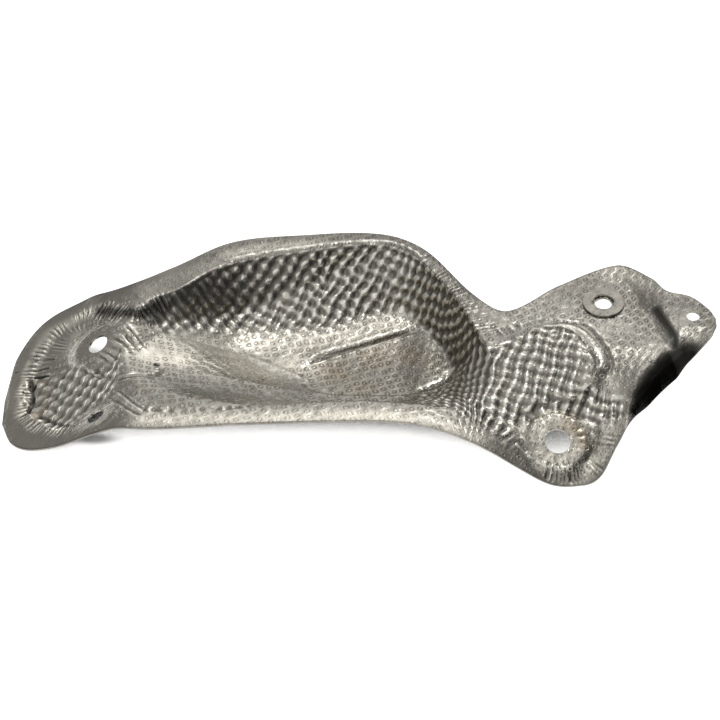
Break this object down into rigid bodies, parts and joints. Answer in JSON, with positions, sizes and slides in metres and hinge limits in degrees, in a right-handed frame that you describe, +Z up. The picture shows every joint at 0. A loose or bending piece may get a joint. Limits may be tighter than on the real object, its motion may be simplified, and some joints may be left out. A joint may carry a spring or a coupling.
{
  "type": "heat shield",
  "caption": "Thin pressed sheet heat shield with a deep trough, a sloping lobe, a plate with an ear, and a flat washer at one fixing hole.",
  "frame": {"origin": "on the ground, under the middle of the shield's box", "axes": "+X along the shield towards the ear, +Y towards the back edge of the trough, +Z up out of the hollow side"},
  "size_m": [0.38, 0.1658, 0.0358],
  "materials": {
    "sheet": "embossed, dull and stained",
    "washer": "plain dull steel"
  },
  "bodies": {
    "root": {"shield_sheet": "sheet", "captive_washer": "washer"}
  },
  "joints": []
}
